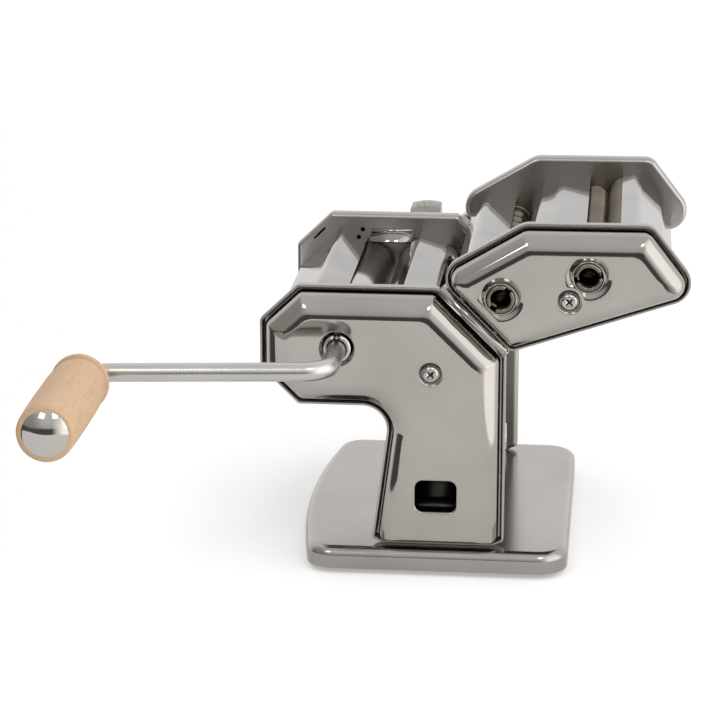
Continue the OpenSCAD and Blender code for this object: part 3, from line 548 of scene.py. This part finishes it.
def add_collar(bm, c, h, face, dishes, to):
    """A turned-out collar in a pressed hollow; gives back the hollow's edge.

    The hollow is as wide as the edges of the flat face and the screw dishes leave room for."""
    # the collar's radius, bore, height and depth, and its rounded edge
    r, bore, up, down, e = 8.2, 7.4, 1.6, 2.4, 0.3
    # the hollow's full width and depth, its least width, and the room it leaves
    wide, deep, least, spare = 4.0, 1.0, 0.3, 0.2

    def room(u):
        out = r + wide
        for i, q in enumerate(face):
            n_in = left(dout(face, i))
            gap = (c[0] - q[0]) * n_in[0] + (c[1] - q[1]) * n_in[1] - spare
            toward = -u[0] * n_in[0] - u[1] * n_in[1]
            if toward > 0.01:
                out = min(out, gap / toward)
        for d in dishes:
            w = (d[0] - c[0], d[1] - c[1])
            along = w[0] * u[0] + w[1] * u[1]
            cut = (DISH_R + FLAT + spare) ** 2 - w[0] ** 2 - w[1] ** 2 + along ** 2
            if along > 0 and cut > 0:
                out = min(out, along - math.sqrt(cut))
        return max(out - r, least)

    rays = circle((0, 0), 1.0)
    width = [room(u) for u in rays]

    def ring(radii, heights):
        spots = [(c[0] + u[0] * a, c[1] + u[1] * a) for u, a in zip(rays, radii)]
        return [bm.verts.new(to(x, y, v)) for (x, y), v in zip(spots, heights)]

    rows = []
    steps = 10
    for j in range(steps + 1):
        t = 1 - j / steps
        drop = deep * (0.5 + 0.5 * math.cos(math.pi * t))
        rows.append(ring([r + w * t for w in width], [h - drop * w / wide for w in width]))
    top = h + up - e
    wall = arc((r - e, top), e, 0, 90, 5) + arc((bore + e, top), e, 90, 180, 5) + [(bore, h - down)]
    rows += [ring([a] * ROUND, [v] * ROUND) for a, v in wall]
    rows.append(ring([r + w for w in width], [h - THIN] * ROUND))
    skin(bm, rows)
    return [(c[0] + u[0] * (r + w), c[1] + u[1] * (r + w)) for u, w in zip(rays, width)]


def add_dish(bm, c, h, to):
    """The sunk seat of a cover screw, with its hole."""
    brim, foot, flat, heel, sink = 0.8, 0.6, 4.4, 4.8, 1.2
    under = h - sink - THIN
    dish = [(DISH_R + FLAT, h), (DISH_R, h)] + arc((DISH_R, h - brim), brim, 90, 140, 6)
    dish += arc((flat, h - sink + foot), foot, 320, 270, 6)
    dish += [(TIE_HOLE, h - sink), (TIE_HOLE, under), (heel, under)]
    lathe(bm, dish + [(DISH_R, h - THIN), (DISH_R + FLAT, h - THIN)], about(to, c))


def dome_object(name, p, r, s, h, side, k, holes=(), dishes=(), collars=(), window=None, mouth=None):
    """A domed cover: wall, rolled shoulder and flat face, with its screw dishes, collars and openings."""
    bm = bmesh.new()
    to = place(side)
    prof = [(s + FLAT, h - THIN)] + arc((s, h - s), s - THIN, 90, 180, 16) + [(THIN, SHEET), (0, SHEET)]
    prof += arc((s, h - s), s, 180, 90, 28) + [(s + FLAT, h)]
    add_band(bm, p, r, prof, to, k, soft=SOFT)
    joined = [circle(c, DISH_R + FLAT) for c in dishes]
    joined += [add_collar(bm, c, h, inset(p, s + FLAT, k), dishes, to) for c in collars]
    if window:
        # the window's edge rolls inward
        roll, back, down = 1.0, 0.2, 4.0
        wide = inset(window, -roll)
        joined.append(outline(wide, WINDOW_R, -FLAT))
        lip = [(-FLAT, h)] + [(u, v + h - roll) for u, v in arc((0, 0), roll, 90, 0, 9)]
        lip += [(roll, h - down), (back, h - down), (back, h - THIN), (-FLAT, h - THIN)]
        add_band(bm, wide, WINDOW_R, lip, to)
    if mouth:
        # the edge of the crank's hole is turned in a little
        c, rad = mouth
        roll, down = 0.65, 1.6
        out = rad + roll
        joined.append(circle(c, out + FLAT))
        edge = [(out + FLAT, h)] + [(out - u, h - roll + v) for u, v in arc((0, 0), roll, 90, 0, 9)]
        edge += [(rad, h - down), (out, h - down), (out, h - THIN), (out + FLAT, h - THIN)]
        lathe(bm, edge, about(to, c))
    add_sheet(bm, outline(p, r, s + FLAT, k, soft=SOFT), list(holes), joined, h - THIN, THIN, to)
    for c in dishes:
        add_dish(bm, c, h, to)
    return new_object(name, bm)


# holes of the plates: bushes, slots of the carriage with half their travel, bracket screws, and a small
# one above the hopper
BUSH_HOLE, CUT_BUSH_HOLE, GAP_HOLE, BAR_HOLE, SLIDE = 9.5, 6.5, 9.2, 4.1, 1.8
BAR = (GAP[0] + 13, GAP[1] - 26.3)
BRACKET_X, BRACKET_Z, BRACKET_HOLE = (-16, 26), FOOT + 11, 2.1
HOPPER, HOPPER_HOLE = (-49.4, 142), 1.3
plate_holes = [circle(c, TIE_HOLE, SMALL) for c in TIES]
plate_holes += [circle(DRIVE, BUSH_HOLE), slot_loop(GAP, GAP_HOLE, SLIDE), slot_loop(BAR, BAR_HOLE, SLIDE)]
plate_holes += [circle((x, BRACKET_Z), BRACKET_HOLE, SMALL) for x in BRACKET_X]
plate_holes += [slit((-73.8, 139.3), 8.8, 1.3, 45), circle(HOPPER, HOPPER_HOLE, SMALL)]
cut_holes = [circle(c, CUT_BUSH_HOLE) for c in (WIDE, WIDE2, FINE, FINE2)]
cut_holes += [circle(c, TIE_HOLE, SMALL) for c in CUT_TIES]
cut_holes += [slit((58.6, 172.5), 9.2, 1.2, 15)]
# holes in the body's covers: round the crank on the near side, round the knob's bush on the far side
MOUTH_R, KNOB_HOLE = 8.75, 8.0
shell(pan_object("crank_plate_shell", RIM, RIM_R, plate_holes, -1), "crank_side_plate", "frame", mat=RIMMED)
shell(pan_object("knob_plate_shell", RIM, RIM_R, plate_holes, 1), "knob_side_plate", "frame", mat=RIMMED)
shell(dome_object("crank_cover_shell", COVER, COVER_R, DOME, DEPTH, -1, COVER_K, dishes=[TIES[0]],
                  window=WINDOW, mouth=(DRIVE, MOUTH_R)), "crank_side_cover", "frame")
shell(dome_object("knob_cover_shell", COVER, COVER_R, DOME, DEPTH, 1, COVER_K, [circle(GAP, KNOB_HOLE)],
                  [TIES[0]]), "knob_side_cover", "frame")
shell(pan_object("cutter_crank_plate_shell", CUT, CUT_R, cut_holes, -1), "cutter_crank_plate", "cutter",
      mat=RIMMED)
shell(pan_object("cutter_far_plate_shell", CUT, CUT_R, cut_holes, 1), "cutter_far_plate", "cutter",
      mat=RIMMED)
shell(dome_object("cutter_cover_shell", CUT_COVER, CUT_COVER_R, CUT_DOME, DEPTH, -1, CUT_K, (), [CUT_TIES[0]],
                  [WIDE, FINE]), "cutter_cover", "cutter")
shell(dome_object("cutter_far_cover_shell", CUT_COVER, CUT_COVER_R, CUT_DOME, CUT_FAR, 1, CUT_K, (),
                  [CUT_TIES[0]]), "cutter_far_cover", "cutter")


def base_object():
    """The pressed base: flat top, rolled edge and wall, with a rounded lower edge."""
    low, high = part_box("base_plate")
    hx, hy, h = high[0] / MM, high[1] / MM, high[2] / MM
    # the left side bows out between its two corners
    tuck, bow, bow_r = 11, 4.5, 480
    p = [(hx, -hy), (hx, hy), (-hx + tuck, hy), (-hx - bow, 0), (-hx + tuck, -hy)]
    r = [16, 16, 14, bow_r, 14]
    bm = bmesh.new()

    def to(x, y, v):
        return (x * MM, y * MM, (h - v) * MM)

    # radius of the rolled edge and of the wall's lower edge
    b, e = 5, 0.3
    wall = h - low[2] / MM
    prof = [(b + FLAT, 0)] + arc((b, b), b, 270, 180, 20)
    prof += [(0, wall - e)] + arc((e, wall - e), e, 180, 90, 4) + arc((SHEET - e, wall - e), e, 90, 0, 4)
    prof += arc((b, b), b - SHEET, 180, 270, 14) + [(b + FLAT, SHEET)]
    fine = STEP / 2
    add_band(bm, p, r, prof, to, fine=fine)
    screw_y = HALF - 9
    holes = [circle((x, s * screw_y), BRACKET_HOLE, SMALL) for x in BRACKET_X for s in (-1, 1)]
    add_sheet(bm, outline(p, r, b + FLAT, fine=fine), holes, [], 0, SHEET, to)
    return new_object("base_shell", bm)


shell(base_object(), "base_plate", "frame", PRESSED)
# each hood: its section in X and Z, the radii of its bends and its body
HOOD_T = 1.0
HOODS = {
    "front_hood": ([(-70, 95.2), (-84, 109.2), (-84, 120), (-60, 144), (-46.4, 137.1)],
                   [0, 3, 3, 3.5, 0], "frame"),
    "rear_hood": ([(-20.6, 137.6), (-15.6, 142.4), (1, 139.8), (28, 112.8), (28, 98)],
                  [0, 1.4, 12, 6, 0], "frame"),
    "cutter_left_hood": ([(33, 128.4), (10.6, 150.8), (19, 162.6), (36.4, 160.6)], [0, 4, 7, 0], "cutter"),
    "cutter_mid_hood": ([(46.5, 165), (51, 172), (62, 175.6), (77.4, 173.8)], [0, 6, 12, 0], "cutter"),
    "cutter_right_hood": ([(95.2, 178), (103, 179.4), (117, 164.4), (121.6, 151.6)], [0, 6, 12, 0], "cutter"),
}
for node, (path, radii, body) in HOODS.items():
    shell(strip_object(node + "_shell", path, radii, HOOD_T, 2 * HALF), node, body, SATIN)


# Crank rod, grip and cap at full fineness

# the arm hangs a little below level; the rod's radius, the crank's throw, the rod's bends, the arm's place
TILT = math.radians(-1.75)
ROD_R, ARM, BEND_C, ARM_Y = 4.75, 120.0, 13.0, -HALF - 59.5
GRIP_X, GRIP_Y, GRIP_L, GRIP_R, CAP_R = DRIVE[0] - ARM, ARM_Y - 15.5, 88.0, 14.5, 11.2
# free passage, how deep the cap sits in the grip's end, and how deep the rod's end lies in the grip
FREE, CAP_SEAT, ROD_END = 0.35, 0.6, 9


def crank_at(x, y, z):
    """Maps the crank, drawn level with the roller axis at zero, to its hanging rest place."""
    d = x - DRIVE[0]
    return ((DRIVE[0] + d * math.cos(TILT) + z * math.sin(TILT)) * MM, y * MM,
            (DRIVE[1] - d * math.sin(TILT) + z * math.cos(TILT)) * MM)


def rod_object():
    """A round rod along the crank's path, with both bends."""
    path = [(DRIVE[0], -HALF + FREE), (DRIVE[0], ARM_Y + BEND_C)]
    path += arc((DRIVE[0] - BEND_C, ARM_Y + BEND_C), BEND_C, 0, -90, 24)[1:]
    path += arc((GRIP_X + BEND_C, ARM_Y - BEND_C), BEND_C, 90, 180, 24)
    path.append((GRIP_X, GRIP_Y - GRIP_L + ROD_END))
    bm = bmesh.new()
    rows = []
    for i, p in enumerate(path):
        a, b = path[max(i - 1, 0)], path[min(i + 1, len(path) - 1)]
        n = left(unit((b[0] - a[0], b[1] - a[1])))
        rows.append([bm.verts.new(crank_at(p[0] + n[0] * u, p[1] + n[1] * u, w))
                     for u, w in circle((0, 0), ROD_R, 64)])
    skin(bm, rows)
    bm.faces.new(rows[0])
    bm.faces.new(list(reversed(rows[-1])))
    return new_object("crank_rod", bm)


def grip_map(x, y, v):
    return crank_at(GRIP_X + x, GRIP_Y - v, y)


def grip_object():
    """The turned grip: near-cylinder, a bead and a groove at its inner end, both ends rounded."""
    g, l, bore = GRIP_R, GRIP_L - CAP_SEAT, ROD_R + FREE
    # rounding of the ends, waist behind the groove, taper toward the cap, and the socket for the cap
    end, waist, taper, mid, socket_r, socket_l = 2, 0.9, 0.6, 48, 8.0, 8.9
    prof = [(bore, 0)] + arc((g - end, end), end, 270, 360, 8)
    prof += arc((g - 0.6, 4.1), 0.6, 0, 70, 5) + arc((g - 1.2, 5.7), 0.9, 230, 130, 8)
    prof += arc((g - waist - 0.5, 6.9), 0.5, 300, 360, 4)
    prof += [(g - waist + waist * math.sin(math.pi / 2 * j / 8), 7.2 + 20 * j / 8) for j in range(1, 9)]
    prof += [(g - taper * (j / 12) ** 2, mid + (l - end - mid) * j / 12) for j in range(13)]
    prof += arc((g - taper - end, l - end), end, 0, 90, 8)[1:]
    prof += [(socket_r, l), (socket_r, l - socket_l), (bore, l - socket_l)]
    bm = bmesh.new()
    lathe(bm, prof, grip_map, 128, close=True)
    return new_object("turned_grip", bm, 40)


def cap_object():
    """The domed chrome cap pressed into the grip's end."""
    # height of the dome, the plug behind it with its depth and bore, and a radius that closes the form
    rise, plug, depth, bore, point = 4, 7.8, 7, 6.6, 0.0005
    seat = GRIP_L - CAP_SEAT
    r = (CAP_R ** 2 + rise ** 2) / (2 * rise)
    a = math.degrees(math.asin(CAP_R / r))
    dome = [(max(u, point), seat + rise - r + v) for u, v in arc((0, 0), r, 90, 90 - a, 24)]
    bm = bmesh.new()
    ring = [(plug, seat), (plug, GRIP_L - depth), (bore, GRIP_L - depth), (bore, GRIP_L), (point, GRIP_L)]
    lathe(bm, dome + ring, grip_map)
    return new_object("domed_cap", bm, 40)


shell(rod_object(), "crank_arm", "crank", ROD)
shell(grip_object(), "wooden_grip", "grip", WOOD)
shell(cap_object(), "grip_cap", "grip", CAP)


# Floor, light and camera

# corners of the card on the table, in metres: left of the machine it is narrow, so the metal mirrors dark
CARD = [(-1, -0.85), (0.24, -0.85), (0.26, 0), (0.34, 2.2), (-0.8, 2.2), (-0.24, 0.25), (-0.22, -0.2),
        (-1, -0.36)]
# the card's colour, and its own light to the camera and in the metal
CARD_TONE, CARD_SEEN, CARD_MIRRORED = (0.80, 0.80, 0.795, 1), 0.36, 0.13
# the backdrop's light on matt surfaces, and the white that the camera sees
BACKDROP, WHITE = (0.46, 0.458, 0.455), (1, 1, 1, 1)
# tint of the studio's light
TINT = (1, 0.985, 0.965)
# where the lamps aim
AIM = Vector((0, 0, 0.1))


def any_of(nt, path, names):
    """One where the ray is any of these kinds."""
    out = path.outputs[names[0]]
    for name in names[1:]:
        out = math_node(nt, "MAXIMUM", out, path.outputs[name])
    return out


def floor():
    """A sheet of white card: plain pale colour, white to the camera and in the metal, with its shadow."""
    me = bpy.data.meshes.new("floor")
    me.from_pydata([(x, y, 0) for x, y in CARD], [], [range(len(CARD))])
    ob = bpy.data.objects.new("floor", me)
    bpy.context.scene.collection.objects.link(ob)
    m = bpy.data.materials.new("floor_card")
    m.use_nodes = True
    nt = m.node_tree
    nt.nodes.clear()
    out = nt.nodes.new("ShaderNodeOutputMaterial")
    diff = nt.nodes.new("ShaderNodeBsdfDiffuse")
    diff.inputs["Color"].default_value = CARD_TONE
    emi = nt.nodes.new("ShaderNodeEmission")
    path = nt.nodes.new("ShaderNodeLightPath")
    mirrored = any_of(nt, path, ["Is Glossy Ray", "Is Transmission Ray"])
    mirrored = math_node(nt, "MULTIPLY", mirrored, CARD_MIRRORED)
    seen = math_node(nt, "MULTIPLY", path.outputs["Is Camera Ray"], CARD_SEEN)
    link(nt, math_node(nt, "MAXIMUM", seen, mirrored), emi.inputs["Strength"])
    add = nt.nodes.new("ShaderNodeAddShader")
    link(nt, diff.outputs[0], add.inputs[0])
    link(nt, emi.outputs[0], add.inputs[1])
    link(nt, add.outputs[0], out.inputs["Surface"])
    me.materials.append(m)


def world():
    """A studio by direction: white backdrop behind, a dark line at the horizon in front, a dark left side
    and a bright right side. Levels are given against the height of the direction."""
    w = bpy.data.worlds.new("studio")
    bpy.context.scene.world = w
    w.use_nodes = True
    nt = w.node_tree
    nt.nodes.clear()
    out = nt.nodes.new("ShaderNodeOutputWorld")
    sep = nt.nodes.new("ShaderNodeSeparateXYZ")
    link(nt, nt.nodes.new("ShaderNodeTexCoord").outputs["Generated"], sep.inputs[0])
    # lowest height with a level of its own, and the brightest level there can be
    low, top = -0.6, 2.0
    height = spread(nt, sep.outputs["Z"], low, 1.0)

    def levels(stops):
        return ramp(nt, height, [((z - low) / (1 - low), tuple(v * c / top for c in TINT)) for z, v in stops])

    front = levels([(-0.6, 0.10), (0.10, 0.10), (0.16, 0.55), (0.3, 0.72), (0.6, 0.82), (1, 0.85)])
    lefts = levels([(-0.6, 0.20), (-0.275, 0.10), (0.03, 0.10), (0.12, 0.38), (0.6, 0.46), (1, 0.85)])
    right = levels([(-0.6, 1.0), (-0.275, 1.9), (0.1, 1.7), (0.5, 1.4), (0.8, 0.95), (1, 0.85)])
    room = mix_color(nt, spread(nt, sep.outputs["X"], -0.2, -0.7), front, lefts)
    room = mix_color(nt, spread(nt, sep.outputs["X"], 0.28, 0.75), room, right)
    behind = spread(nt, sep.outputs["Y"], 0.15, 0.5)
    bg = nt.nodes.new("ShaderNodeBackground")
    link(nt, mix_color(nt, behind, room, BACKDROP), bg.inputs["Color"])
    bg.inputs["Strength"].default_value = top
    white = nt.nodes.new("ShaderNodeBackground")
    white.inputs["Color"].default_value = WHITE
    path = nt.nodes.new("ShaderNodeLightPath")
    mirrored = math_node(nt, "MULTIPLY", behind, any_of(nt, path, ["Is Glossy Ray", "Is Transmission Ray"]))
    seen = math_node(nt, "MAXIMUM", path.outputs["Is Camera Ray"], mirrored)
    ms = nt.nodes.new("ShaderNodeMixShader")
    link(nt, seen, ms.inputs[0])
    link(nt, bg.outputs[0], ms.inputs[1])
    link(nt, white.outputs[0], ms.inputs[2])
    link(nt, ms.outputs[0], out.inputs["Surface"])


def area(name, loc, size, energy):
    """A square soft lamp aimed at the machine."""
    li = bpy.data.lights.new(name, "AREA")
    li.energy = energy
    li.shape = "SQUARE"
    li.size = size
    ob = bpy.data.objects.new(name, li)
    ob.location = loc
    ob.rotation_euler = (AIM - Vector(loc)).to_track_quat("-Z", "Y").to_euler()
    bpy.context.scene.collection.objects.link(ob)


def camera():
    """A long lens in front of the crank side, looking down and a little to the left."""
    down, turned = 15.95, 5.56
    cam = bpy.data.cameras.new("camera")
    cam.sensor_fit = "HORIZONTAL"
    cam.sensor_width = 36
    cam.lens = 141.7
    ob = bpy.data.objects.new("camera", cam)
    ob.location = (0.0991, -1.4645, 0.5084)
    ob.rotation_euler = (math.radians(90 - down), 0, math.radians(turned))
    bpy.context.scene.collection.objects.link(ob)
    bpy.context.scene.camera = ob


floor()
world()
area("key", (1.5, -0.6, 1.0), 1.8, 5.0)
area("spot_left", (-0.64, -1.32, 1.3), 0.46, 2.8)
area("spot_right", (0.5, -1.3, 1.4), 0.46, 2.8)
camera()
bpy.context.scene.view_settings.view_transform = "Standard"
